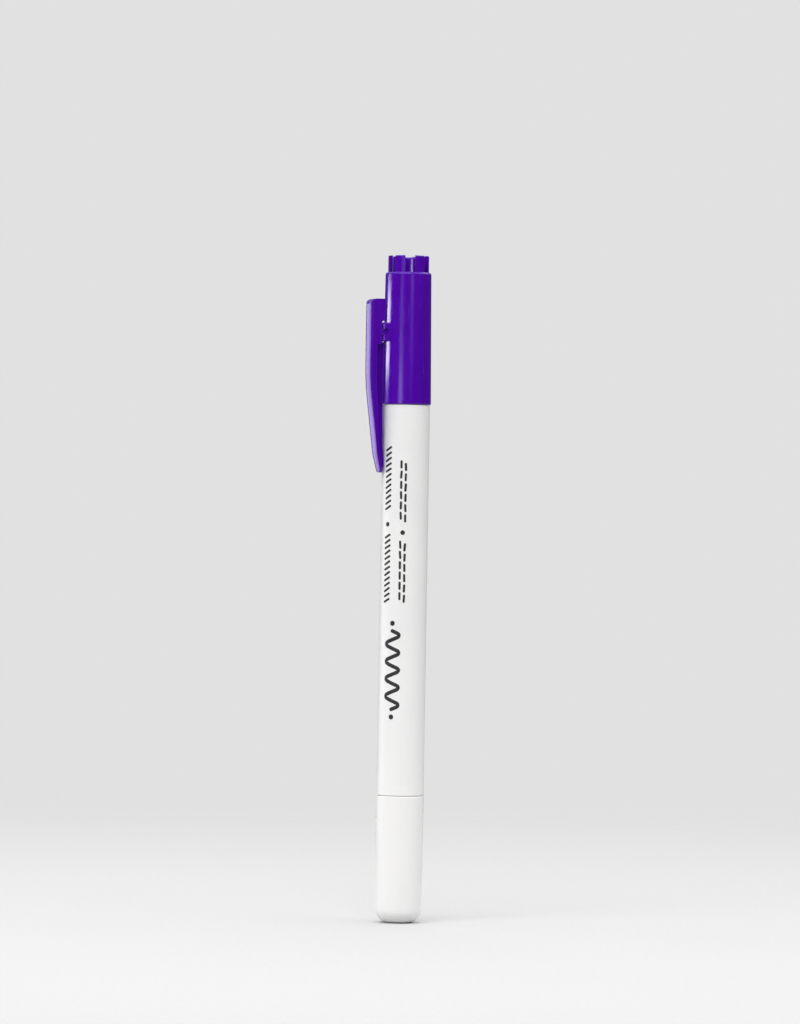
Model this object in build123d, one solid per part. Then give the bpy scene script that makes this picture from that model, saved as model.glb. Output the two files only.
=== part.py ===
"""Fabric marking pen: a fine marking tip under a clipped, vented cap, and an eraser tip under a plain cap.

Millimetres. The pen's axis is Z, the origin is the centre of the eraser cap's flat end, +Z runs to the
marking cap, and -Y is the pen's front. The clip stands towards -X, turned a little to the front.

Both ends of the pen are built alike, so the pieces of an end are drawn in that end's own frame: height 0 is
the barrel's end face, and heights grow outwards from it. FRONT and TAIL then put them on the pen.
"""

import math
import os
from dataclasses import dataclass

from build123d import *

PEN_LENGTH = 140.0

# Room between pieces, on each side.
RUNNING = 0.04  # pieces that slide or turn on each other
SEATED = 0.01  # pieces that are pressed or moulded into each other
CAP_GAP = 0.1  # from the barrel's end face to a cap's mouth

# Barrel: a plain extruded tube.
BARREL_R = 4.95
BARREL_BORE_R = 4.05
BARREL_LOW = 26.8
BARREL_HIGH = 108.7

# Nose sections, pressed into each end of the barrel.
SPIGOT_LENGTH = 10.0
NECK_R = 4.22
NECK_LENGTH = 8.0
BEAD_R = 4.34  # snap bead round the neck
BEAD_HEIGHT = 3.2
BEAD_HALF_WIDTH = 0.6
LAND_R = 3.45  # smooth band that the liner's lip seals on
LAND_END = 12.8
CUP_DEPTH = 2.8  # how far past the barrel's end the reservoir reaches into the section
AIR_GROOVES = 3
AIR_GROOVE_WIDTH = 0.5
AIR_GROOVE_DEPTH = 0.3

# Ink and eraser reservoirs, with the plug that parts them.
FIBRE_R = 3.2
FILM_THICKNESS = 0.13
FILM_R = FIBRE_R + SEATED + FILM_THICKNESS
CUP_R = FILM_R + SEATED
WEB_LOW = 60.5
WEB_HIGH = 62.5
PLUG_SKIRT = 4.0
NIB_REACH = 6.0  # how far a nib runs into its reservoir from the barrel's end face
NIB_REAR_TAPER = 2.5

# What both caps share.
NECK_BORE_R = BEAD_R + RUNNING
NECK_BORE_END = 8.6
GROOVE_R = 4.46
LINER_R = 3.85
LINER_LIP = 9.0
LINER_BORE_R = 4.12
LINER_RIBS = 6
LINER_RIB_WIDTH = 0.8
LEAD_IN = 0.25
NOSE_ROOM = 0.3  # between a section's nose and the liner round it

# Marking cap.
CAP_MOUTH_R = 5.15
CAP_SHOULDER_R = 4.81
CROWN_HEIGHT = 3.5
CROWN_R = 4.28
CROWN_WALL = 0.8
CROWN_LEDGE = 0.8
LEDGE_R = 3.3
VENTS = 6
VENT_WIDTH = 2.1
VENT_START = -85.0
PLUG_R = 2.95
PLUG_DROP = 0.4  # from the crown's top down to the plug's
GATE_R = 0.7
GATE_DEPTH = 0.25

# Eraser cap.
TAIL_MOUTH_R = 5.05
TAIL_END_R = 4.78
TAIL_ROUNDING = 2.8
TAIL_WALL = 1.9

# Clip. Distances out from the pen's axis, and heights on the pen.
CLIP_AZIMUTH = 198.0
CLIP_TOP = 130.8
CLIP_BEND = 113.5  # where the arm starts to lean in
CLIP_TAPER = 98.2  # where the tip starts to narrow
CLIP_TIP = 94.4
CLIP_OUTER = 8.95
CLIP_TAPER_OUTER = 7.1
CLIP_TIP_OUTER = 6.1
CLIP_THICKNESS = 1.7
CLIP_TIP_THICKNESS = 0.8
CLIP_WIDTH = 4.0
CLIP_TAPER_WIDTH = 3.2
CLIP_TIP_WIDTH = 2.6
CLIP_TOP_ROUNDING = 1.6
CLIP_EDGE_ROUNDING = 0.5
CLIP_CROWN_R = 4.6  # the outer face's rounding, from side to side
CLIP_BEND_SWEEP = 60
CLIP_TAPER_SWEEP = 12
HEAD_LOW = 121.3
HEAD_INNER = 5.55
HEAD_STEP = 126.0  # just over the boss, where the head comes in to the cap
RIB_WIDTH = 1.4
RIB_INNER = 5.4  # the rib's edge beside the cap
RIB_LOW = 106.5  # where that edge turns in towards the bump
BUMP_HIGH = 97.2
BUMP_LOW = 95.8
BUMP_R = BARREL_R + 0.1

# Clip pivot: a round knuckle on the clip in a socket in the cap's boss.
PIVOT_OUT = 5.45
PIVOT_HEIGHT = 123.9
KNUCKLE_R = 0.7
KNUCKLE_LENGTH = 3.6
SOCKET_R = KNUCKLE_R + 0.05
POST_THICKNESS = 0.8
BOSS_WIDTH = 4.4
BOSS_HEIGHT = 3.9
BOSS_OUTER = 5.85
BOSS_ROOT = 4.25
HEAD_RELIEF = 6.25  # how near the axis the head comes beside the boss

PAST = 1.0  # how far a cutting tool runs beyond what it cuts


@dataclass(frozen=True)
class Tip:
    """What differs between the two ends of the pen."""

    nib_r: float
    nose_r: float  # the section's end face, round the nib
    nose_end: float
    nib_straight: float  # height where the nib starts to narrow
    nib_end: float
    point_r: float
    point_rounding: float


MARKING = Tip(1.1, 1.75, 19.1, 19.8, 23.3, 0.42, 0.34)
ERASING = Tip(2.0, 2.6, 17.0, 19.4, 22.2, 1.3, 0.9)

FRONT = Pos(0, 0, BARREL_HIGH)
TAIL = Pos(0, 0, BARREL_LOW) * Rot(180, 0, 0)
CROWN_TOP = PEN_LENGTH - BARREL_HIGH
SHOULDER = CROWN_TOP - CROWN_HEIGHT
LEDGE_LOW = SHOULDER - CROWN_LEDGE
TAIL_END = BARREL_LOW  # the eraser cap's flat end, in its own frame


def outline(corners):
    """A closed face in the XZ plane. Each corner is (out, height) or (out, height, rounding)."""
    points = [(corner[0], 0, corner[1]) for corner in corners]
    roundings = [corner[2] if len(corner) > 2 else 0 for corner in corners]
    return make_face(FilletPolyline(*points, radius=roundings, close=True))


def turned(*corners):
    """A solid turned about Z from the corners of its half section."""
    return revolve(outline(corners), Axis.Z)


def slab(width, *corners):
    """A flat-sided solid, as wide as stated across Y, from the corners of its side view."""
    return extrude(outline(corners), amount=width / 2, both=True)


def around(count, tool, start=0.0):
    """Copies of a tool, spaced evenly about Z."""
    return [Rot(0, 0, start + index * 360 / count) * tool for index in range(count)]


def radial_bar(inner, outer, width, low, high):
    """A bar that runs outwards along +X."""
    size = (outer - inner, width, high - low)
    return Pos((inner + outer) / 2, 0, (low + high) / 2) * Box(*size)


def barrel():
    edge = 0.1
    return turned(
        (BARREL_BORE_R, BARREL_LOW),
        (BARREL_R, BARREL_LOW, edge),
        (BARREL_R, BARREL_HIGH, edge),
        (BARREL_BORE_R, BARREL_HIGH),
    )


def nose_section(tip):
    """Spigot for the barrel, neck with a snap bead, sealing land, and a cone that ends round the nib."""
    spigot_r = BARREL_BORE_R - SEATED
    bore_r = tip.nib_r + SEATED
    body = turned(
        (CUP_R, -SPIGOT_LENGTH),
        (spigot_r, -SPIGOT_LENGTH, 0.3),
        (spigot_r, 0),
        (NECK_R, 0),
        (NECK_R, BEAD_HEIGHT - BEAD_HALF_WIDTH),
        (BEAD_R, BEAD_HEIGHT, 0.5),
        (NECK_R, BEAD_HEIGHT + BEAD_HALF_WIDTH),
        (NECK_R, NECK_LENGTH, 0.3),
        (LAND_R, NECK_LENGTH + 0.5, 0.2),
        (LAND_R, LAND_END, 2.0),
        (tip.nose_r, tip.nose_end, 0.2),
        (bore_r, tip.nose_end),
        (bore_r, CUP_DEPTH),
        (CUP_R, CUP_DEPTH),
    )
    groove_r = bore_r + AIR_GROOVE_DEPTH
    groove = radial_bar(0, groove_r, AIR_GROOVE_WIDTH, CUP_DEPTH - PAST, tip.nose_end + PAST)
    return body - around(AIR_GROOVES, groove, start=30)


def nib(tip, grown=0.0):
    """A fibre rod, pointed where it writes and tapered where it enters the reservoir."""
    radius = tip.nib_r + grown
    rear = -NIB_REACH - grown
    return turned(
        (0, rear),
        (radius / 2, rear),
        (radius, rear + NIB_REAR_TAPER),
        (radius, tip.nib_straight, 1.0),
        (tip.point_r, tip.nib_end, tip.point_rounding),
        (0, tip.nib_end),
    )


def fibre_core(tip, length):
    """The soaked fibre bundle, with the pocket that its nib makes."""
    high = CUP_DEPTH - SEATED
    core = turned((0, high - length), (FIBRE_R, high - length), (FIBRE_R, high), (0, high))
    return core - nib(tip, grown=SEATED)


def film_sleeve(length):
    """The film that wraps a fibre bundle."""
    high = CUP_DEPTH - SEATED
    inner = FIBRE_R + SEATED
    return turned((inner, high - length), (FILM_R, high - length), (FILM_R, high), (inner, high))


def reservoir_divider():
    """The plug that keeps ink and eraser fluid apart, with a skirt each way that holds a reservoir."""
    outer = BARREL_BORE_R - SEATED
    low, high = WEB_LOW - PLUG_SKIRT, WEB_HIGH + PLUG_SKIRT
    return turned(
        (0, WEB_LOW),
        (CUP_R, WEB_LOW),
        (CUP_R, low),
        (outer, low, 0.2),
        (outer, high, 0.2),
        (CUP_R, high),
        (CUP_R, WEB_HIGH),
        (0, WEB_HIGH),
    )


def cap_hollow(depth):
    """The space inside either cap. The ribs that carry its liner are left standing in it."""
    hollow = turned(
        (0, CAP_GAP - PAST),
        (NECK_BORE_R + LEAD_IN, CAP_GAP - PAST),
        (NECK_BORE_R + LEAD_IN, CAP_GAP),
        (NECK_BORE_R, CAP_GAP + LEAD_IN),
        (NECK_BORE_R, BEAD_HEIGHT - BEAD_HALF_WIDTH),
        (GROOVE_R, BEAD_HEIGHT, 0.5),
        (NECK_BORE_R, BEAD_HEIGHT + BEAD_HALF_WIDTH),
        (NECK_BORE_R, NECK_BORE_END, 0.1),
        (LINER_BORE_R, NECK_BORE_END + LEAD_IN),
        (LINER_BORE_R, depth),
        (0, depth),
    )
    rib = radial_bar(
        LINER_R + RUNNING, LINER_BORE_R + PAST, LINER_RIB_WIDTH, LINER_LIP + PAST, depth + PAST
    )
    return hollow - around(LINER_RIBS, rib)


def cap_liner(tip, inner_end, closed_end, *plug):
    """A thin lip that seals on the section's land, and a closed pocket round the nib."""
    lip_r = LAND_R + RUNNING
    pocket_r = tip.nose_r + NOSE_ROOM
    top = plug[-1][1] if plug else closed_end
    return turned(
        (lip_r, LINER_LIP),
        (LINER_R, LINER_LIP, 0.1),
        (LINER_R, closed_end, 0.2),
        *plug,
        (0, top),
        (0, inner_end),
        (pocket_r, inner_end, 0.5),
        (pocket_r, tip.nose_end + NOSE_ROOM, 0.5),
        (lip_r, LAND_END + 0.5),
    )


def marking_cap_liner():
    """The liner whose closed end is a plug that shows inside the cap's crown."""
    top = CROWN_TOP - PLUG_DROP
    shoulder = LEDGE_LOW - RUNNING
    liner = cap_liner(MARKING, MARKING.nib_end + 1.2, shoulder, (PLUG_R, shoulder), (PLUG_R, top, 0.35))
    gate = Pos(0, 0, top) * Cylinder(GATE_R, 2 * GATE_DEPTH)
    return liner - gate


def clip_boss():
    """The block on the cap that holds the clip, drawn at azimuth 0."""
    face = Plane(origin=(BOSS_ROOT, 0, PIVOT_HEIGHT), x_dir=(0, 1, 0), z_dir=(1, 0, 0))
    boss = extrude(face * RectangleRounded(BOSS_WIDTH, BOSS_HEIGHT, 0.35), amount=BOSS_OUTER - BOSS_ROOT)
    return fillet(boss.faces().sort_by(Axis.X)[-1].edges(), 0.2)


def clip_socket():
    """The round seat in the boss, open across its whole width."""
    return Pos(PIVOT_OUT, 0, PIVOT_HEIGHT) * Rot(90, 0, 0) * Cylinder(SOCKET_R, BOSS_WIDTH + PAST)


def marking_cap_shell():
    """The cap body, which narrows to a crown with vents, and the boss for the clip."""
    body = turned(
        (0, CAP_GAP),
        (CAP_MOUTH_R, CAP_GAP, 0.15),
        (CAP_SHOULDER_R, SHOULDER, 0.5),
        (CROWN_R, SHOULDER),
        (CROWN_R, CROWN_TOP, 0.25),
        (0, CROWN_TOP),
    )
    crown_bore = Pos(0, 0, SHOULDER) * Cylinder(
        CROWN_R - CROWN_WALL, CROWN_HEIGHT + PAST, align=(Align.CENTER, Align.CENTER, Align.MIN)
    )
    ledge_hole = Pos(0, 0, SHOULDER) * Cylinder(LEDGE_R, 2 * CROWN_LEDGE + PAST)
    vent = radial_bar(LEDGE_R - 0.2, CROWN_R + PAST, VENT_WIDTH, SHOULDER, CROWN_TOP + PAST)
    notch = radial_bar(LEDGE_R - 0.2, LINER_BORE_R - 0.1, VENT_WIDTH, LEDGE_LOW - PAST, SHOULDER + 0.1)
    to_clip = Rot(0, 0, CLIP_AZIMUTH) * FRONT.inverse()
    shell = body + to_clip * clip_boss()
    shell -= [cap_hollow(LEDGE_LOW), crown_bore, ledge_hole, to_clip * clip_socket()]
    return shell - around(VENTS, vent, VENT_START) - around(VENTS, notch, VENT_START)


def eraser_cap_shell():
    """A plain cap with a rounded end and a small flat to stand on."""
    body = turned(
        (0, CAP_GAP),
        (TAIL_MOUTH_R, CAP_GAP, 0.15),
        (TAIL_END_R, TAIL_END, TAIL_ROUNDING),
        (0, TAIL_END),
    )
    return body - cap_hollow(TAIL_END - TAIL_WALL)


def clip_arm():
    """A flat arm, straight beside the cap, then leaning in to the barrel, with a deeper head."""
    inner = CLIP_OUTER - CLIP_THICKNESS
    side_view = slab(
        CLIP_WIDTH + PAST,
        (CLIP_OUTER, CLIP_TOP, CLIP_TOP_ROUNDING),
        (CLIP_OUTER, CLIP_BEND, CLIP_BEND_SWEEP),
        (CLIP_TAPER_OUTER, CLIP_TAPER, CLIP_TAPER_SWEEP),
        (CLIP_TIP_OUTER, CLIP_TIP, 0.45),
        (CLIP_TIP_OUTER - CLIP_TIP_THICKNESS, CLIP_TIP),
        (CLIP_TAPER_OUTER - CLIP_TIP_THICKNESS, CLIP_TAPER, CLIP_TAPER_SWEEP),
        (inner, CLIP_BEND, CLIP_BEND_SWEEP),
        (inner, HEAD_LOW),
        (HEAD_RELIEF, HEAD_LOW, 0.3),
        (HEAD_RELIEF, HEAD_STEP, 0.2),
        (HEAD_INNER, HEAD_STEP + 0.3, 0.15),
        (HEAD_INNER, CLIP_TOP),
    )
    return side_view & clip_outline() & clip_crown()


def clip_crown():
    """A bar that runs along the arm and gives it a crowned outer face with rounded shoulders."""
    top = CLIP_TOP + PAST
    half = CLIP_WIDTH / 2
    shoulder = CLIP_OUTER - CLIP_CROWN_R + math.sqrt(CLIP_CROWN_R**2 - half**2)
    crown = ThreePointArc((shoulder, -half, top), (CLIP_OUTER, 0, top), (shoulder, half, top))
    sides = Polyline((shoulder, half, top), (HEAD_INNER - PAST, half, top))
    back = mirror(sides, Plane.XZ)
    across = Polyline((HEAD_INNER - PAST, half, top), (HEAD_INNER - PAST, -half, top))
    section = make_face(Curve() + [crown, sides, across, back])
    section = fillet(section.vertices().filter_by(lambda corner: corner.X > HEAD_INNER), CLIP_EDGE_ROUNDING)
    slope = (CLIP_TAPER_OUTER - CLIP_TIP_OUTER) / (CLIP_TAPER - CLIP_TIP)
    path = FilletPolyline(
        (CLIP_OUTER, 0, top),
        (CLIP_OUTER, 0, CLIP_BEND),
        (CLIP_TAPER_OUTER, 0, CLIP_TAPER),
        (CLIP_TIP_OUTER - slope * PAST, 0, CLIP_TIP - PAST),
        radius=[CLIP_BEND_SWEEP, CLIP_TAPER_SWEEP],
    )
    return sweep(section, path=path)


def clip_outline():
    """The arm's outline as seen from outside, as a thick slab that trims it to width."""
    beside = CLIP_WIDTH / 2 + 0.1
    halves = [
        (beside, CLIP_TOP + PAST, 0),
        (beside, CLIP_BEND, 0),
        (CLIP_TAPER_WIDTH / 2, CLIP_TAPER, 20),
        (CLIP_TIP_WIDTH / 2, CLIP_TIP, 1.2),
    ]
    left = [(-across, height, rounding) for across, height, rounding in halves]
    right = list(reversed(halves))
    corners = left + right
    points = [(across, height) for across, height, rounding in corners]
    roundings = [rounding for across, height, rounding in corners]
    facing_out = Plane(origin=(0, 0, 0), x_dir=(0, 1, 0), z_dir=(1, 0, 0))
    face = make_face(FilletPolyline(*points, radius=roundings, close=True))
    return extrude(facing_out * face, amount=CLIP_OUTER + PAST)


def clip():
    """The arm, a rib that stiffens it and bears on the barrel, and a post that ends in the knuckle."""
    inner = CLIP_OUTER - CLIP_THICKNESS
    rib = slab(
        RIB_WIDTH,
        (inner + 0.2, HEAD_LOW + 0.5),
        (RIB_INNER, HEAD_LOW + 0.5, 0.3),
        (RIB_INNER, RIB_LOW, 8),
        (BUMP_R + 0.25, BUMP_HIGH + 2.2, 6),
        (BUMP_R, BUMP_HIGH, 0.8),
        (BUMP_R, BUMP_LOW, 0.6),
        (CLIP_TIP_OUTER - CLIP_TIP_THICKNESS + 0.1, CLIP_TIP + 0.4),
        (CLIP_TAPER_OUTER - CLIP_TIP_THICKNESS + 0.2, CLIP_TAPER),
        (inner + 0.2, CLIP_BEND),
    )
    knuckle = Pos(PIVOT_OUT, 0, PIVOT_HEIGHT) * Rot(90, 0, 0) * Cylinder(KNUCKLE_R, KNUCKLE_LENGTH)
    half_post = POST_THICKNESS / 2
    post = radial_bar(
        PIVOT_OUT, HEAD_RELIEF + 0.2, KNUCKLE_LENGTH, PIVOT_HEIGHT - half_post, PIVOT_HEIGHT + half_post
    )
    return clip_arm() + rib + knuckle + post


def pieces():
    """Every piece of the pen in its place, by name."""
    ink_length = BARREL_HIGH + CUP_DEPTH - WEB_HIGH - 2 * SEATED
    eraser_length = WEB_LOW - BARREL_LOW + CUP_DEPTH - 2 * SEATED
    return {
        "barrel": barrel(),
        "marking_section": FRONT * nose_section(MARKING),
        "marking_nib": FRONT * nib(MARKING),
        "ink_fibre_core": FRONT * fibre_core(MARKING, ink_length),
        "ink_film_sleeve": FRONT * film_sleeve(ink_length),
        "reservoir_divider": reservoir_divider(),
        "eraser_fibre_core": TAIL * fibre_core(ERASING, eraser_length),
        "eraser_film_sleeve": TAIL * film_sleeve(eraser_length),
        "eraser_section": TAIL * nose_section(ERASING),
        "eraser_nib": TAIL * nib(ERASING),
        "marking_cap_shell": FRONT * marking_cap_shell(),
        "marking_cap_liner": FRONT * marking_cap_liner(),
        "pocket_clip": Rot(0, 0, CLIP_AZIMUTH) * clip(),
        "eraser_cap_shell": TAIL * eraser_cap_shell(),
        "eraser_cap_liner": TAIL
        * cap_liner(ERASING, ERASING.nib_end + 1.0, TAIL_END - TAIL_WALL - RUNNING),
    }


os.makedirs("parts", exist_ok=True)
for name, piece in pieces().items():
    export_step(piece, f"parts/{name}.step")
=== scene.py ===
"""Looks for a fabric marking pen: violet cap and clip, white barrel with a printed stitch motif, eraser end.

Lengths are in millimetres, and MM turns them into metres where a vertex is made or a node reads the
object's place. The studio's lengths are in metres. The pen stands on Z with its front at -Y. Angles round
the pen are in degrees from the front, positive to +X.
"""

import math
import random

import bmesh
import bpy
from mathutils import Matrix, Vector
from mathutils.bvhtree import BVHTree


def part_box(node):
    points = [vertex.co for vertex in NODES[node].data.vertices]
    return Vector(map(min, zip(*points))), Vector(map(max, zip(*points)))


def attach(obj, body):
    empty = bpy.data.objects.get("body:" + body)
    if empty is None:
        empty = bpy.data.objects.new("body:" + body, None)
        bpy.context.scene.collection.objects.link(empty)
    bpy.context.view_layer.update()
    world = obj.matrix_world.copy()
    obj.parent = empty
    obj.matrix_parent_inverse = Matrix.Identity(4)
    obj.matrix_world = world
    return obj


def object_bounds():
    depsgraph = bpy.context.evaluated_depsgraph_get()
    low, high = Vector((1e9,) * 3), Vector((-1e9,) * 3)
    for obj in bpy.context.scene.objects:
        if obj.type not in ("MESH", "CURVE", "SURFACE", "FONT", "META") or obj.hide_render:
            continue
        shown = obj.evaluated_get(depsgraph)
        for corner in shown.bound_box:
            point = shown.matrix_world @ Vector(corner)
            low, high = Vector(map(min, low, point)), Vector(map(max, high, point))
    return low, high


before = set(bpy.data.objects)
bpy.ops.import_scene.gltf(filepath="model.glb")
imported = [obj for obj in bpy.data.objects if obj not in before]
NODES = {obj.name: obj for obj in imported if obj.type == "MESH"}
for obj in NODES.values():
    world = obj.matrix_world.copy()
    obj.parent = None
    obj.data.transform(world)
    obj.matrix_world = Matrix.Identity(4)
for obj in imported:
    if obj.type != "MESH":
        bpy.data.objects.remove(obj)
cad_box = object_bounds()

MM = 0.001
SCENE = bpy.context.scene

BARREL_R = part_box("barrel")[1].x / MM
PLUG_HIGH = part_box("marking_cap_liner")[1].z / MM
PEN_HIGH = cad_box[1].z / MM


# ---------------------------------------------------------------- node graphs


class Graph:
    """A material or world tree, with one short call for each kind of node that the looks need."""

    def __init__(self, owner):
        self.owner = owner
        owner.use_nodes = True
        self.tree = owner.node_tree
        self.tree.nodes.clear()

    def add(self, kind, settings=None, inputs=None):
        node = self.tree.nodes.new(kind)
        for key, value in (settings or {}).items():
            setattr(node, key, value)
        for key, value in (inputs or {}).items():
            self.feed(node.inputs[key], value)
        return node

    def feed(self, socket, value):
        if isinstance(value, bpy.types.NodeSocket):
            self.tree.links.new(value, socket)
        elif socket.type == "RGBA":
            socket.default_value = (*value, 1.0)
        else:
            socket.default_value = value

    def place(self):
        return self.add("ShaderNodeTexCoord").outputs["Object"]

    def stretched(self, x, y, z, offset=(0, 0, 0)):
        """The object's place, scaled: a small number draws a pattern out along that axis."""
        inputs = {"Vector": self.place(), "Scale": (x, y, z), "Location": offset}
        return self.add("ShaderNodeMapping", inputs=inputs).outputs[0]

    def noise(self, vector, scale, detail=2.0, roughness=0.5, distortion=0.0):
        inputs = {
            "Vector": vector,
            "Scale": scale,
            "Detail": detail,
            "Roughness": roughness,
            "Distortion": distortion,
        }
        return self.add("ShaderNodeTexNoise", inputs=inputs).outputs[0]

    def span(self, value, low, high, out_low=0.0, out_high=1.0):
        """A value, carried smoothly from one range to another and held inside it."""
        settings = {"interpolation_type": "SMOOTHSTEP"}
        inputs = {0: value, 1: low, 2: high, 3: out_low, 4: out_high}
        return self.add("ShaderNodeMapRange", settings, inputs).outputs[0]

    def math(self, operation, first, second=0.0):
        settings = {"operation": operation}
        return self.add("ShaderNodeMath", settings, {0: first, 1: second}).outputs[0]

    def blend(self, factor, first, second):
        """Colour first where factor is 0, second where it is 1."""
        node = self.add("ShaderNodeMix", {"data_type": "RGBA"}, {0: factor, 6: first, 7: second})
        return node.outputs[2]

    def tint(self, base, mask, amount, tone):
        """The base colour, turned towards tone by amount where the mask is 1."""
        return self.blend(self.math("MULTIPLY", mask, amount), base, tone)

    def raised(self, value, mask, amount):
        """The value, higher by amount where the mask is 1."""
        return self.math("ADD", value, self.math("MULTIPLY", mask, amount))

    def axes(self):
        node = self.add("ShaderNodeSeparateXYZ", inputs={0: self.place()})
        return node.outputs[0], node.outputs[1], node.outputs[2]

    def bump(self, height, distance, normal=None):
        """Relief whose full height is distance millimetres, on top of the relief in normal."""
        inputs = {"Height": height, "Distance": distance * MM, "Strength": 1.0}
        if normal is not None:
            inputs["Normal"] = normal
        return self.add("ShaderNodeBump", inputs=inputs).outputs[0]

    def edges(self, radius):
        """1 on sharp outer and inner edges, 0 on open surfaces."""
        rounded = self.add("ShaderNodeBevel", {"samples": 6}, {"Radius": radius * MM}).outputs[0]
        flat = self.add("ShaderNodeNewGeometry").outputs["Normal"]
        dot = self.add("ShaderNodeVectorMath", {"operation": "DOT_PRODUCT"}, {0: rounded, 1: flat})
        return self.span(dot.outputs["Value"], 0.97, 0.78)

    def finish(self, **inputs):
        """A principled surface. An input's name is written with _ for a space."""
        named = {key.replace("_", " "): value for key, value in inputs.items()}
        shader = self.add("ShaderNodeBsdfPrincipled", inputs=named)
        out = self.add("ShaderNodeOutputMaterial")
        self.tree.links.new(shader.outputs[0], out.inputs[0])
        return self.owner


def new_graph(name):
    return Graph(bpy.data.materials.new(name))


# ---------------------------------------------------------------- materials


def hairlines(graph, along, across, threshold, seed):
    """Fine broken scratches that run along Z. 1 in a scratch."""
    drawn_out = graph.stretched(across, across, along, (seed, 0, 0))
    fine = graph.noise(drawn_out, scale=1.0, detail=3.0, roughness=0.6, distortion=0.3)
    patch = graph.noise(graph.stretched(1, 1, 1, (0, seed, 0)), scale=160)
    lines = graph.span(fine, threshold, threshold + 0.05)
    return graph.math("MULTIPLY", lines, graph.span(patch, 0.42, 0.68))


def ring_scuffs(graph, threshold, seed):
    """Scratches that run round the pen, as a cap gets from being turned. 1 in a scratch."""
    x, y, z = graph.axes()
    squares = graph.math("ADD", graph.math("MULTIPLY", x, x), graph.math("MULTIPLY", y, y))
    vector = graph.add("ShaderNodeCombineXYZ", inputs={0: squares, 1: seed, 2: z}).outputs[0]
    fine = graph.noise(vector, scale=9000, roughness=0.6)
    patch = graph.noise(graph.stretched(1, 1, 1, (seed, 0, 0)), scale=260)
    lines = graph.span(fine, threshold, threshold + 0.05)
    return graph.math("MULTIPLY", lines, graph.span(patch, 0.5, 0.72))


VIOLET = (0.063, 0.0010, 0.318)
VIOLET_FLOW = (0.075, 0.0018, 0.360)
VIOLET_CLOUD = (0.084, 0.002, 0.350)
VIOLET_WORN = (0.170, 0.045, 0.480)
VIOLET_SCRATCH = (0.20, 0.07, 0.50)
VIOLET_GLOSS = (0.77, 0.65, 1.0)


def violet_plastic(name, seed):
    """Glossy violet polypropylene: flow marks, faint orange peel, scratches, worn edges."""
    graph = new_graph(name)
    drawn_out = graph.stretched(1, 1, 0.18, (seed, seed, 0))
    flow = graph.noise(drawn_out, scale=420, detail=3.0, roughness=0.55, distortion=0.6)
    cloud = graph.noise(graph.stretched(1, 1, 1, (0, 0, seed)), scale=130)
    scratch = graph.math("MAXIMUM", hairlines(graph, 55, 5200, 0.63, seed), ring_scuffs(graph, 0.66, seed))
    edge_mask = graph.edges(0.22)
    base = graph.blend(graph.span(flow, 0.3, 0.7), VIOLET, VIOLET_FLOW)
    base = graph.blend(graph.span(cloud, 0.35, 0.7, 0.0, 0.35), base, VIOLET_CLOUD)
    base = graph.tint(base, edge_mask, 0.32, VIOLET_WORN)
    base = graph.tint(base, scratch, 0.18, VIOLET_SCRATCH)
    haze = graph.noise(graph.stretched(1, 1, 0.5, (seed, 0, seed)), scale=300, detail=4.0, roughness=0.6)
    rough = graph.span(haze, 0.3, 0.75, 0.13, 0.22)
    rough = graph.raised(rough, scratch, 0.16)
    rough = graph.raised(rough, edge_mask, 0.10)
    peel = graph.noise(graph.stretched(1, 1, 1, (seed, seed, seed)), scale=1500)
    normal = graph.bump(peel, 0.006)
    normal = graph.bump(scratch, -0.004, normal=normal)
    return graph.finish(
        Base_Color=base,
        Roughness=rough,
        IOR=1.5,
        Specular_Tint=VIOLET_GLOSS,
        Normal=normal,
        Subsurface_Weight=0.04,
        Subsurface_Radius=(0.6, 0.1, 1.0),
        Subsurface_Scale=0.5 * MM,
    )


WHITE = (0.872, 0.866, 0.858)
WHITE_CLOUD = (0.842, 0.838, 0.836)
WHITE_DRAWN = (0.800, 0.797, 0.800)
WHITE_SMUDGE = (0.66, 0.63, 0.66)
WHITE_SCRATCH = (0.62, 0.61, 0.63)
# a darker grey that the white plastic takes on its outer and inner edges
WHITE_EDGE_TONE = (0.70, 0.69, 0.70)
WHITE_SCATTER = (1.0, 0.9, 0.85)  # how far red, green and blue light spread under the surface


def barrel_plastic():
    """Extruded white polypropylene, slightly translucent: draw lines, faint handling marks, scratches."""
    graph = new_graph("barrel_plastic")
    draw = graph.noise(graph.stretched(1, 1, 0.015), scale=2600, detail=3.0, roughness=0.6)
    cloud = graph.noise(graph.stretched(1, 1, 0.6), scale=90, detail=3.0, roughness=0.55)
    drawn_out = graph.stretched(1, 1, 0.5, (0, 0.3, 0))
    smudge = graph.noise(drawn_out, scale=210, detail=5.0, roughness=0.65, distortion=0.8)
    smudge = graph.span(smudge, 0.60, 0.78)
    scratch = hairlines(graph, 40, 6200, 0.64, 3.0)
    edge_mask = graph.edges(0.2)
    base = graph.blend(graph.span(cloud, 0.3, 0.72), WHITE, WHITE_CLOUD)
    base = graph.blend(graph.span(draw, 0.45, 0.75, 0.0, 0.22), base, WHITE_DRAWN)
    base = graph.tint(base, smudge, 0.10, WHITE_SMUDGE)
    base = graph.tint(base, scratch, 0.12, WHITE_SCRATCH)
    # darker grey on outer and inner edges
    base = graph.tint(base, edge_mask, 0.18, WHITE_EDGE_TONE)
    rough = graph.span(cloud, 0.3, 0.7, 0.30, 0.38)
    rough = graph.raised(rough, smudge, 0.10)
    rough = graph.raised(rough, scratch, 0.12)
    normal = graph.bump(draw, 0.004)
    normal = graph.bump(scratch, -0.003, normal=normal)
    return graph.finish(
        Base_Color=base,
        Roughness=rough,
        IOR=1.48,
        Normal=normal,
        Subsurface_Weight=0.12,
        Subsurface_Radius=WHITE_SCATTER,
        Subsurface_Scale=0.8 * MM,
    )


MOULDED_WHITE = (0.84, 0.84, 0.82)
MOULDED_CLOUD = (0.79, 0.79, 0.78)
STAIN_WANDER = 5.0  # how far the stain's edge strays in height


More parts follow.
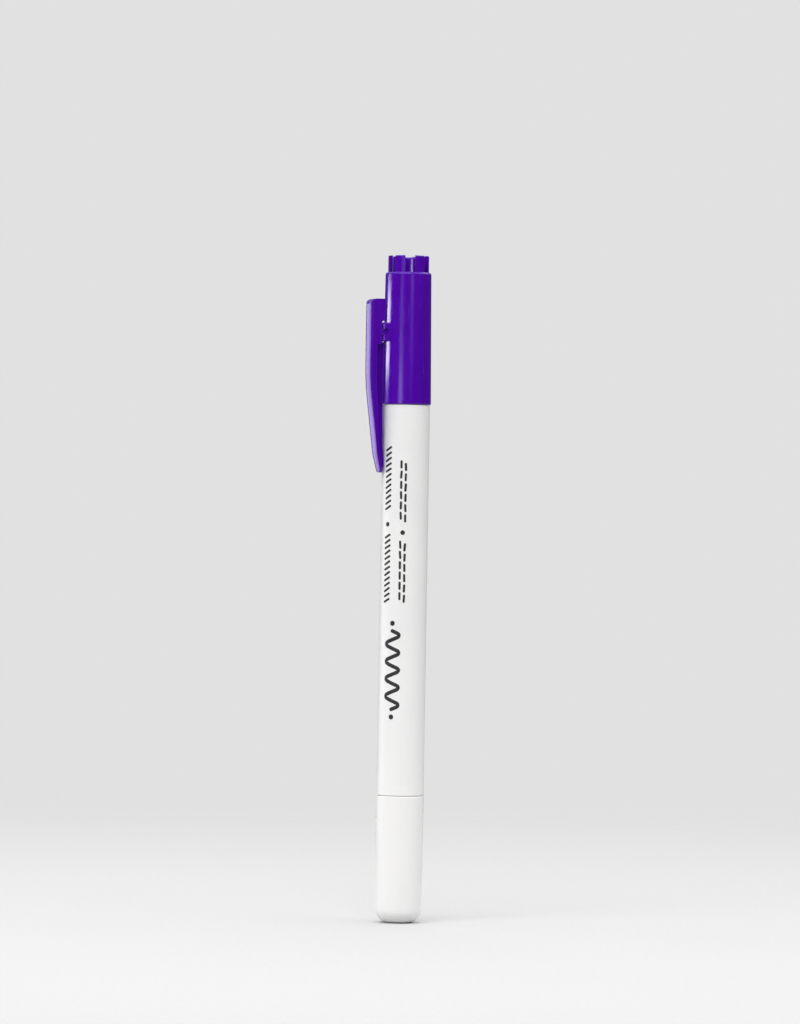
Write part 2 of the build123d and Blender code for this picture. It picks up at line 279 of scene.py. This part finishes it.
def section_plastic(name, stain, stain_from, stain_to, seed):
    """Moulded white polypropylene, finely spark-textured, and stained where the nib has wetted it.

    The stain grows from height stain_from to height stain_to.
    """
    graph = new_graph(name)
    cloud = graph.noise(graph.stretched(1, 1, 1, (seed, 0, 0)), scale=240, detail=3.0)
    wander = graph.noise(graph.stretched(1, 1, 0.5, (0, seed, 0)), scale=700, detail=4.0, roughness=0.6)
    wander = graph.math("MULTIPLY", graph.math("SUBTRACT", wander, 0.5), STAIN_WANDER * MM)
    wet = graph.span(graph.math("ADD", graph.axes()[2], wander), stain_from * MM, stain_to * MM)
    speck = graph.span(graph.noise(graph.place(), scale=1900), 0.66, 0.72)
    base = graph.blend(graph.span(cloud, 0.3, 0.7), MOULDED_WHITE, MOULDED_CLOUD)
    base = graph.tint(base, wet, 0.85, stain)
    base = graph.tint(base, speck, 0.25, stain)
    # darker grey on outer and inner edges
    base = graph.tint(base, graph.edges(0.15), 0.2, WHITE_EDGE_TONE)
    spark = graph.noise(graph.place(), scale=3800)
    rough = graph.span(spark, 0.3, 0.7, 0.38, 0.5)
    rough = graph.raised(rough, wet, -0.14)
    return graph.finish(
        Base_Color=base,
        Roughness=rough,
        IOR=1.48,
        Normal=graph.bump(spark, 0.006),
        Subsurface_Weight=0.15,
        Subsurface_Radius=WHITE_SCATTER,
        Subsurface_Scale=0.8 * MM,
    )


def fibre(name, pale, soaked, dry_at, wet_at, gloss, seed):
    """Bonded fibres that run along Z, pale at height dry_at and soaked at height wet_at, with painted shade
    in the grooves between strands.
    """
    graph = new_graph(name)
    strands = graph.noise(graph.stretched(1, 1, 0.02, (seed, 0, 0)), scale=9000, detail=3.0, roughness=0.65)
    bundles = graph.noise(graph.stretched(1, 1, 0.05, (0, seed, 0)), scale=2600)
    base = graph.blend(graph.span(graph.axes()[2], dry_at * MM, wet_at * MM), pale, soaked)
    # painted shade: half the soaked colour in the grooves between strands, where the relief is low
    strand_groove_shade = tuple(channel * 0.5 for channel in soaked)
    base = graph.blend(graph.span(strands, 0.56, 0.40, 0.0, 0.6), base, strand_groove_shade)
    base = graph.blend(graph.span(bundles, 0.50, 0.75, 0.0, 0.3), base, pale)
    relief = graph.raised(strands, bundles, 0.8)
    return graph.finish(
        Base_Color=base,
        Roughness=graph.span(strands, 0.3, 0.7, gloss, gloss + 0.25),
        IOR=1.45,
        Sheen_Weight=0.25,
        Sheen_Roughness=0.4,
        Normal=graph.bump(relief, 0.03),
    )


def reservoir_film():
    """Thin milky film over fibre, crinkled and glossy."""
    graph = new_graph("reservoir_film")
    drawn_out = graph.stretched(1, 1, 0.35)
    crinkle = graph.noise(drawn_out, scale=900, detail=4.0, roughness=0.6, distortion=0.5)
    base = graph.blend(graph.span(crinkle, 0.3, 0.7), (0.70, 0.74, 0.78), (0.60, 0.62, 0.70))
    return graph.finish(
        Base_Color=base,
        Roughness=graph.span(crinkle, 0.3, 0.7, 0.12, 0.3),
        IOR=1.5,
        Normal=graph.bump(crinkle, 0.02),
    )


def divider_plastic():
    """Grey-white moulded plug."""
    graph = new_graph("divider_plastic")
    grain = graph.noise(graph.place(), scale=2400, detail=3.0)
    base = graph.blend(graph.span(grain, 0.3, 0.7), (0.66, 0.66, 0.68), (0.58, 0.58, 0.60))
    return graph.finish(
        Base_Color=base,
        Roughness=graph.span(grain, 0.3, 0.7, 0.4, 0.55),
        Normal=graph.bump(grain, 0.005),
    )


def printing_ink():
    """Black pad-printed ink: slightly raised, thinner in specks where the plastic shows through."""
    graph = new_graph("printing_ink")
    cover = graph.noise(graph.place(), scale=2600, detail=4.0, roughness=0.65)
    thin = graph.span(cover, 0.62, 0.76)
    base = graph.blend(graph.span(cover, 0.3, 0.7), (0.016, 0.016, 0.018), (0.030, 0.030, 0.034))
    base = graph.tint(base, thin, 0.55, (0.16, 0.16, 0.17))
    return graph.finish(
        Base_Color=base,
        Roughness=graph.span(cover, 0.3, 0.7, 0.32, 0.46),
        IOR=1.48,
        Normal=graph.bump(cover, 0.004),
    )


def dress(node, material):
    slots = NODES[node].data.materials
    slots.clear()
    slots.append(material)


# The ink and the eraser's fluid, and the stains that they leave on plastic.
INK = (0.045, 0.006, 0.160)
INK_STAIN = (0.26, 0.09, 0.55)
WASH = (0.80, 0.79, 0.70)
NOSE_WASH = (0.74, 0.72, 0.60)

shell_violet = violet_plastic("violet_shell", seed=2.0)
clip_violet = violet_plastic("violet_clip", seed=5.0)
liner_violet = violet_plastic("violet_liner", seed=9.0)
white_barrel = barrel_plastic()
film = reservoir_film()

dress("barrel", white_barrel)
dress("eraser_cap_shell", white_barrel)
dress("marking_cap_shell", shell_violet)
dress("marking_cap_liner", liner_violet)
dress("pocket_clip", clip_violet)
dress("ink_film_sleeve", film)
dress("eraser_film_sleeve", film)
dress("reservoir_divider", divider_plastic())
dress(
    "eraser_cap_liner",
    section_plastic("liner_plastic", WASH, stain_from=24.0, stain_to=2.0, seed=4.0),
)
dress(
    "marking_section",
    section_plastic("marking_section_plastic", INK_STAIN, stain_from=119.0, stain_to=129.0, seed=1.0),
)
dress(
    "eraser_section",
    section_plastic("eraser_section_plastic", NOSE_WASH, stain_from=18.0, stain_to=8.0, seed=2.0),
)
dress(
    "marking_nib",
    fibre("inked_nib", (0.20, 0.06, 0.36), INK, dry_at=126.0, wet_at=132.0, gloss=0.35, seed=1.0),
)
dress(
    "ink_fibre_core",
    fibre("inked_core", (0.28, 0.10, 0.46), INK, dry_at=62.0, wet_at=111.0, gloss=0.45, seed=2.0),
)
dress(
    "eraser_nib",
    fibre(
        "plain_nib", (0.86, 0.85, 0.80), (0.78, 0.76, 0.66), dry_at=12.0, wet_at=4.6, gloss=0.45, seed=3.0
    ),
)
dress(
    "eraser_fibre_core",
    fibre(
        "plain_core", (0.86, 0.85, 0.81), (0.78, 0.76, 0.68), dry_at=60.0, wet_at=24.0, gloss=0.5, seed=4.0
    ),
)


# ---------------------------------------------------------------- mesh pieces


class Shells:
    """Closed shells that are gathered into one mesh piece."""

    def __init__(self):
        self.points = []
        self.faces = []

    def loft(self, rings):
        """A closed shell through rings of the same number of points, capped at both ends."""
        start, count = len(self.points), len(rings[0])
        for ring in rings:
            self.points += ring
        for row in range(len(rings) - 1):
            for column in range(count):
                beside = (column + 1) % count
                low, high = start + row * count, start + (row + 1) * count
                self.faces.append((low + column, low + beside, high + beside, high + column))
        self.faces.append(tuple(range(start + count - 1, start - 1, -1)))
        last = start + (len(rings) - 1) * count
        self.faces.append(tuple(range(last, last + count)))

    def piece(self, name, body, material, smooth=True):
        mesh = bpy.data.meshes.new(name)
        mesh.from_pydata([Vector(point) * MM for point in self.points], [], self.faces)
        mesh.validate()
        obj = bpy.data.objects.new(name, mesh)
        SCENE.collection.objects.link(obj)
        fix_normals(mesh)
        if smooth:
            mesh.shade_smooth()
        mesh.materials.append(material)
        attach(obj, body)


def fix_normals(mesh):
    work = bmesh.new()
    work.from_mesh(mesh)
    bmesh.ops.recalc_face_normals(work, faces=work.faces)
    work.to_mesh(mesh)
    work.free()


# The prints' thickness and mesh.
PRINT_OUT = BARREL_R + 0.022
PRINT_IN = BARREL_R - 0.02
PRINT_COLUMNS = 4
PRINT_PITCH = 0.3
CORNER_STEPS = 6
END_TURNS = (12, 30, 50, 70)  # degrees round a stroke's end at which it gets a row of points
LINE_WIDTH = 0.46
LINE_UNEVEN = (-0.02, 0.03)
DOT_R = 0.48

# Each print's angle from the front line, and the heights between which its groups of stitches run.
RUNNING_AT = -4
RUNNING_GROUPS = [(96.8, 84.1), (80.0, 66.5)]
RUNNING_DOT = 81.9
DASH_LENGTH = 1.25
DASH_REPEAT = 2.15
DASH_ROW = 0.47  # how far each row of dashes is from the middle
DASH_STAGGER = 0.55  # how far the right row starts below the left one
DASH_OVERRUN = 0.3  # how far a group's last dash may pass its end
DASH_TILT = 0.05
WHIP_AT = -45
WHIP_GROUPS = [(99.4, 86.1), (81.1, 67.3)]
WHIP_DOT = 83.6
WHIP_REACH = 0.62
WHIP_LEAN = 0.34
WHIP_UNEVEN = 0.04
WHIP_REPEAT = 1.12
ZIGZAG_AT = -26
ZIGZAG_HIGH = 61.3
ZIGZAG_LOW = 44.9
ZIGZAG_REACH = 2.2
ZIGZAG_TURNS = 9
ZIGZAG_ROUNDING = 0.45
ZIGZAG_WIDTH = 0.78
ZIGZAG_DOT_R = 0.52
ZIGZAG_DOT_GAP = 1.6


def on_barrel(across, height, radius):
    """A place across millimetres to the right of the front line, measured round the barrel."""
    angle = across / BARREL_R
    return (radius * math.sin(angle), -radius * math.cos(angle), height)


def round_corners(path, radius):
    """A path whose corners are arcs."""
    rounded = [path[0]]
    for before, here, after in zip(path, path[1:], path[2:]):
        here = Vector(here)
        to_before = (Vector(before) - here).normalized()
        to_after = (Vector(after) - here).normalized()
        half = math.acos(max(-1, min(1, to_before.dot(to_after)))) / 2
        setback = radius / math.tan(half)
        centre = here + (to_before + to_after).normalized() * (radius / math.sin(half))
        first = here + to_before * setback - centre
        last = here + to_after * setback - centre
        turn = first.angle_signed(last)
        for step in range(CORNER_STEPS + 1):
            spun = Matrix.Rotation(-turn * step / CORNER_STEPS, 2) @ first
            rounded.append(tuple(centre + spun))
    return rounded + [path[-1]]


def resample(path, pitch):
    """Points along a path, about pitch apart, with the direction at each."""
    points = [Vector(point) for point in path]
    lengths = [(b - a).length for a, b in zip(points, points[1:])]
    total = sum(lengths)
    count = max(2, round(total / pitch))
    samples = []
    for index in range(count + 1):
        left = total * index / count
        for leg, length in enumerate(lengths):
            if left <= length or leg == len(lengths) - 1:
                break
            left -= length
        direction = (points[leg + 1] - points[leg]).normalized()
        samples.append((points[leg] + direction * left, direction))
    return samples


def stroke(shells, path, width):
    """A printed stroke with round ends, along a path of (across, height) points."""
    half = width / 2
    samples = resample(path, PRINT_PITCH)
    first, last = samples[0], samples[-1]
    turns = [math.radians(turn) for turn in END_TURNS]
    end_arc = [(half * math.cos(turn), half * math.sin(turn)) for turn in turns]
    rows = [(first[0] - first[1] * out, first[1], spread) for out, spread in end_arc]
    rows += [(place, direction, half) for place, direction in samples]
    rows += [(last[0] + last[1] * out, last[1], spread) for out, spread in reversed(end_arc)]
    rings = []
    for place, direction, spread in rows:
        side = Vector((direction.y, -direction.x))
        steps = [spread * (2 * column / PRINT_COLUMNS - 1) for column in range(PRINT_COLUMNS + 1)]
        top = [on_barrel(*(place + side * step), PRINT_OUT) for step in steps]
        foot = [on_barrel(*(place + side * step), PRINT_IN) for step in reversed(steps)]
        rings.append(top + foot)
    shells.loft(rings)


def dot(shells, across, height, radius):
    """A printed round dot: a very short stroke, as wide as it is long."""
    stroke(shells, [(across, height + 0.01), (across, height - 0.01)], 2 * radius)


def across_at(degrees):
    """How far round the barrel an angle from the front line is, in millimetres."""
    return math.radians(degrees) * BARREL_R


def running_stitch():
    """Two parallel lines of dashes, as a twin needle sews them, and a round dot between the groups."""
    shells = Shells()
    centre = across_at(RUNNING_AT)
    draw = random.Random(11)
    for high, low in RUNNING_GROUPS:
        for side, start in ((-DASH_ROW, 0.0), (DASH_ROW, DASH_STAGGER)):
            height = high - start
            while height - DASH_LENGTH > low - DASH_OVERRUN:
                tilt = draw.uniform(-DASH_TILT, DASH_TILT)
                ends = [(centre + side + tilt, height), (centre + side - tilt, height - DASH_LENGTH)]
                stroke(shells, ends, LINE_WIDTH + draw.uniform(*LINE_UNEVEN))
                height -= DASH_REPEAT
    dot(shells, centre, RUNNING_DOT, DOT_R)
    shells.piece("print_running_stitch", "pen_body", ink)


def whip_stitch():
    """Short slanted stitches one above the other, with a round dot between the groups."""
    shells = Shells()
    centre = across_at(WHIP_AT)
    draw = random.Random(12)
    for high, low in WHIP_GROUPS:
        height = high
        while height > low:
            lean = WHIP_LEAN + draw.uniform(-WHIP_UNEVEN, WHIP_UNEVEN)
            ends = [(centre - WHIP_REACH, height - lean), (centre + WHIP_REACH, height + lean)]
            stroke(shells, ends, LINE_WIDTH)
            height -= WHIP_REPEAT
    dot(shells, centre, WHIP_DOT, DOT_R)
    shells.piece("print_whip_stitch", "pen_body", ink)


def zigzag_stitch():
    """A bold zig-zag machine stitch with a dot beyond each end."""
    shells = Shells()
    centre = across_at(ZIGZAG_AT)
    step = (ZIGZAG_HIGH - ZIGZAG_LOW) / ZIGZAG_TURNS
    path = [(centre, ZIGZAG_HIGH)]
    for turn in range(ZIGZAG_TURNS):
        side = 1 if turn % 2 == 0 else -1
        path.append((centre + side * ZIGZAG_REACH, ZIGZAG_HIGH - step * (turn + 0.5)))
    path.append((centre, ZIGZAG_LOW))
    stroke(shells, round_corners(path, ZIGZAG_ROUNDING), ZIGZAG_WIDTH)
    dot(shells, centre, ZIGZAG_HIGH + ZIGZAG_DOT_GAP, ZIGZAG_DOT_R)
    dot(shells, centre, ZIGZAG_LOW - ZIGZAG_DOT_GAP, ZIGZAG_DOT_R)
    shells.piece("print_zigzag_stitch", "pen_body", ink)


ink = printing_ink()
running_stitch()
whip_stitch()
zigzag_stitch()


SEAM_AZIMUTH = 18  # from +X: the mould's split, opposite the clip
SEAM_RISE = 0.022
SEAM_SINK = -0.05
SEAM_FOOT = 0.10  # half the line's width, under the surface and on top
SEAM_CREST = 0.035
SEAM_FADE = 0.3  # a small number keeps the line at full height until close to its ends
CAP_SEAM_LOW = 110
CAP_SEAM_HIGH = 135
TAIL_SEAM_LOW = 3
TAIL_SEAM_HIGH = 26
TAIL_ROUNDING = 2.8
TAIL_TURNS = range(10, 76, 5)  # degrees down the tail's rounding


def outer_profile(node, azimuth, heights):
    """The (radius, height) of a node's outer surface at each height."""
    tree = BVHTree.FromObject(NODES[node], bpy.context.evaluated_depsgraph_get())
    out = Vector((math.cos(math.radians(azimuth)), math.sin(math.radians(azimuth)), 0))
    profile = []
    for height in heights:
        start = out * 2 * BARREL_R * MM + Vector((0, 0, height * MM))
        place = tree.ray_cast(start, -out)[0]
        profile.append((place.xy.length / MM, height))
    return profile


def parting_line(name, node, body, material, azimuth, heights):
    """The fine raised line where a mould's halves met, over a node's outer surface."""
    shells = Shells()
    angle = math.radians(azimuth)
    out = Vector((math.cos(angle), math.sin(angle), 0))
    beside = Vector((-math.sin(angle), math.cos(angle), 0))
    profile = outer_profile(node, azimuth, heights)
    rings = []
    for index, (radius, height) in enumerate(profile):
        before = Vector(profile[max(index - 1, 0)])
        after = Vector(profile[min(index + 1, len(profile) - 1)])
        along = (after - before).normalized()
        # lift points straight out of the surface, and the line sinks away towards both its ends.
        lift = Vector((abs(along.y), along.x * (-1 if along.y > 0 else 1)))
        rise = SEAM_RISE * math.sin(math.pi * (index + 0.3) / (len(profile) - 0.4)) ** SEAM_FADE
        half = ((-SEAM_FOOT, SEAM_SINK), (-SEAM_CREST, rise))
        ring = []
        for side, above in half + tuple((-side, above) for side, above in reversed(half)):
            flat = Vector((radius, height)) + lift * above
            ring.append(tuple(out * flat.x + beside * side + Vector((0, 0, flat.y))))
        rings.append(ring)
    shells.loft(rings)
    shells.piece(name, body, material, smooth=False)


CAP_SEAM = range(CAP_SEAM_LOW, CAP_SEAM_HIGH + 1)
TAIL_SEAM = list(range(TAIL_SEAM_HIGH, TAIL_SEAM_LOW - 1, -1))
TAIL_SEAM += [TAIL_ROUNDING * (1 - math.sin(math.radians(turn))) for turn in TAIL_TURNS]
parting_line(
    "marking_cap_parting_line",
    "marking_cap_shell",
    "marking_cap",
    shell_violet,
    SEAM_AZIMUTH,
    CAP_SEAM,
)
for suffix, turn in (("", 0), ("_far", 180)):
    parting_line(
        "eraser_cap_parting_line" + suffix,
        "eraser_cap_shell",
        "eraser_cap",
        white_barrel,
        SEAM_AZIMUTH + turn,
        TAIL_SEAM,
    )


GATE_DEPTH = 0.25
GATE_HEIGHT = 0.2
GATE_SPOKES = 18
GATE_ROUGH = 0.12
GATE_UNEVEN = (-0.03, 0.02)
GATE_UNEVEN_ABOVE = 0.5
GATE_RINGS = ((-0.08, 0.42), (0.0, 0.40), (0.45, 0.33), (0.8, 0.25), (1.0, 0.12))  # level and radius


def gate_nub():
    """The rough stub in the plug's gate recess, where the moulding was snapped off its runner."""
    shells = Shells()
    base = PLUG_HIGH - GATE_DEPTH
    draw = random.Random(7)
    rings = []
    for level, radius in GATE_RINGS:
        ring = []
        for spoke in range(GATE_SPOKES):
            angle = spoke * math.tau / GATE_SPOKES
            rough = 1 + draw.uniform(-GATE_ROUGH, GATE_ROUGH) * (level > 0)
            uneven = draw.uniform(*GATE_UNEVEN) if level > GATE_UNEVEN_ABOVE else 0
            out = radius * rough
            ring.append((out * math.cos(angle), out * math.sin(angle), base + GATE_HEIGHT * level + uneven))
        rings.append(ring)
    shells.loft(rings)
    shells.piece("crown_gate_nub", "marking_cap_seal", liner_violet)


gate_nub()


# ---------------------------------------------------------------- studio


BACKDROP = (0.755, 0.752, 0.752)
PAPER = (0.565, 0.563, 0.563)
PAPER_TOOTH = (0.545, 0.543, 0.545)

# Lengths in metres.
PEN_MIDDLE = 0.5 * PEN_HIGH * MM
FLOOR_RADIUS = 0.62
FLOOR_FADE_FROM = 0.10
FLOOR_FADE_TO = 0.56
FLOOR_RINGS = 24
FLOOR_SPOKES = 96


def world_light():
    """A pale backdrop for the camera, and for the pen a room that is bright overhead."""
    world = bpy.data.worlds.new("studio")
    SCENE.world = world
    graph = Graph(world)
    direction = graph.add("ShaderNodeTexCoord").outputs["Generated"]
    up = graph.add("ShaderNodeSeparateXYZ", inputs={0: direction}).outputs[2]
    dome = graph.span(up, 0.12, 0.80, 0.05, 1.35)
    lit = graph.blend(dome, (0, 0, 0), (1.0, 1.0, 1.0))
    seen = graph.add("ShaderNodeLightPath").outputs["Is Camera Ray"]
    shown = graph.blend(seen, lit, BACKDROP)
    background = graph.add("ShaderNodeBackground", inputs={"Color": shown, "Strength": 1.0})
    out = graph.add("ShaderNodeOutputWorld")
    graph.tree.links.new(background.outputs[0], out.inputs[0])


def softbox(name, angle, elevation, distance, wide, tall, radiance, height=PEN_MIDDLE):
    """A flat light that faces the pen's axis at a height. The angle is from the front, positive to +X."""
    light = bpy.data.lights.new(name, "AREA")
    light.shape = "RECTANGLE"
    light.size, light.size_y = wide, tall
    light.energy = radiance * math.pi * wide * tall
    obj = bpy.data.objects.new(name, light)
    SCENE.collection.objects.link(obj)
    around, above = math.radians(angle), math.radians(elevation)
    towards = Vector(
        (math.sin(around) * math.cos(above), -math.cos(around) * math.cos(above), math.sin(above))
    )
    obj.location = Vector((0, 0, height)) + towards * distance
    obj.rotation_mode = "QUATERNION"
    obj.rotation_quaternion = towards.to_track_quat("Z", "Y")
    obj.visible_camera = False
    return obj


def link_light(light, purpose, node, state):
    """Say how a light treats one CAD node, as its receiver or its blocker."""
    group = bpy.data.collections.new(f"{light.name}_{purpose}")
    group.objects.link(NODES[node])
    group.collection_objects[0].light_linking.link_state = state
    setattr(light.light_linking, f"{purpose}_collection", group)


def only_lights(light, node):
    link_light(light, "receiver", node, "INCLUDE")


def never_lights(light, node):
    link_light(light, "receiver", node, "EXCLUDE")


def passes(light, node):
    link_light(light, "blocker", node, "EXCLUDE")


def floor():
    """A round pale floor that fades into the backdrop before its edge."""
    points = [(0, 0, 0)]
    for ring in range(1, FLOOR_RINGS + 1):
        for spoke in range(FLOOR_SPOKES):
            angle = spoke * math.tau / FLOOR_SPOKES
            out = FLOOR_RADIUS * ring / FLOOR_RINGS
            points.append((out * math.cos(angle), out * math.sin(angle), 0))
    faces = [(0, 1 + spoke, 1 + (spoke + 1) % FLOOR_SPOKES) for spoke in range(FLOOR_SPOKES)]
    for ring in range(FLOOR_RINGS - 1):
        near = 1 + ring * FLOOR_SPOKES
        far = near + FLOOR_SPOKES
        for spoke in range(FLOOR_SPOKES):
            beside = (spoke + 1) % FLOOR_SPOKES
            faces.append((near + spoke, far + spoke, far + beside, near + beside))
    mesh = bpy.data.meshes.new("floor")
    mesh.from_pydata(points, [], faces)
    obj = bpy.data.objects.new("floor", mesh)
    SCENE.collection.objects.link(obj)
    graph = new_graph("floor_paper")
    x, y, _ = graph.axes()
    squares = graph.math("ADD", graph.math("MULTIPLY", x, x), graph.math("MULTIPLY", y, y))
    away = graph.span(graph.math("SQRT", squares), FLOOR_FADE_FROM, FLOOR_FADE_TO)
    tooth = graph.noise(graph.place(), scale=900, detail=4.0, roughness=0.6)
    base = graph.blend(graph.span(tooth, 0.3, 0.7), PAPER, PAPER_TOOTH)
    paper = graph.add("ShaderNodeBsdfDiffuse", inputs={"Color": base, "Normal": graph.bump(tooth, 0.05)})
    clear = graph.add("ShaderNodeBsdfTransparent")
    mixed = graph.add("ShaderNodeMixShader", inputs={0: away})
    graph.tree.links.new(paper.outputs[0], mixed.inputs[1])
    graph.tree.links.new(clear.outputs[0], mixed.inputs[2])
    out = graph.add("ShaderNodeOutputMaterial")
    graph.tree.links.new(mixed.outputs[0], out.inputs[0])
    mesh.materials.append(graph.owner)


world_light()

softbox("key", angle=-22, elevation=50, distance=0.75, wide=0.62, tall=0.50, radiance=3.9)
softbox("fill", angle=62, elevation=48, distance=0.80, wide=0.50, tall=0.45, radiance=1.35)
softbox("side", angle=108, elevation=38, distance=0.80, wide=0.45, tall=0.45, radiance=1.3)
softbox("back", angle=170, elevation=50, distance=0.85, wide=0.70, tall=0.45, radiance=1.6)

# Reflections: the barrel's bright rim, the cap's and the clip's streaks, and the plug's glint.
edge_strip = softbox(
    "edge_strip", angle=-106, elevation=3, distance=0.50, wide=0.34, tall=0.30, radiance=1.8
)
never_lights(edge_strip, "marking_cap_shell")
softbox("front_strip", angle=-31, elevation=2, distance=0.60, wide=0.15, tall=0.22, radiance=0.75)
softbox(
    "front_card", angle=20, elevation=1, distance=0.30, wide=0.08, tall=0.030, radiance=1.2, height=0.150
)
mouth_card = softbox(
    "mouth_card", angle=-29, elevation=0, distance=0.30, wide=0.09, tall=0.014, radiance=19.0, height=0.1075
)
only_lights(mouth_card, "marking_cap_shell")
clip_strip = softbox(
    "clip_strip", angle=-128, elevation=2, distance=0.50, wide=0.36, tall=0.36, radiance=2.7
)
only_lights(clip_strip, "pocket_clip")
cap_strip = softbox(
    "cap_strip", angle=-107, elevation=0, distance=0.14, wide=0.062, tall=0.0195, radiance=14.0, height=0.1308
)
only_lights(cap_strip, "marking_cap_shell")
passes(cap_strip, "pocket_clip")
plug_glint = softbox(
    "plug_glint", angle=27, elevation=1, distance=0.30, wide=0.07, tall=0.026, radiance=15.0, height=0.146
)
only_lights(plug_glint, "marking_cap_liner")
passes(plug_glint, "marking_cap_shell")
floor()


LENS = 180.0  # focal length and sensor width, in millimetres
SENSOR = 36.0
CAMERA_PLACE = (-0.00097, -1.0755, 0.0862)
CAMERA_ROLL = -0.0165


def camera():
    """A long lens, level with the pen and rolled a little, so that the pen leans to the right."""
    lens = bpy.data.cameras.new("camera")
    lens.type = "PERSP"
    lens.lens = LENS
    lens.sensor_width = SENSOR
    lens.clip_start, lens.clip_end = 0.01, 20.0
    obj = bpy.data.objects.new("camera", lens)
    SCENE.collection.objects.link(obj)
    away = Vector((0.0, -1.0, 0.0))
    lean = Vector((CAMERA_ROLL, 0.0, 1.0)).normalized()
    right = lean.cross(away).normalized()
    turn = Matrix((right, lean, away)).transposed()
    obj.rotation_mode = "QUATERNION"
    obj.rotation_quaternion = turn.to_quaternion()
    obj.location = CAMERA_PLACE
    SCENE.camera = obj


camera()
SCENE.view_settings.view_transform = "Standard"
SCENE.view_settings.look = "None"
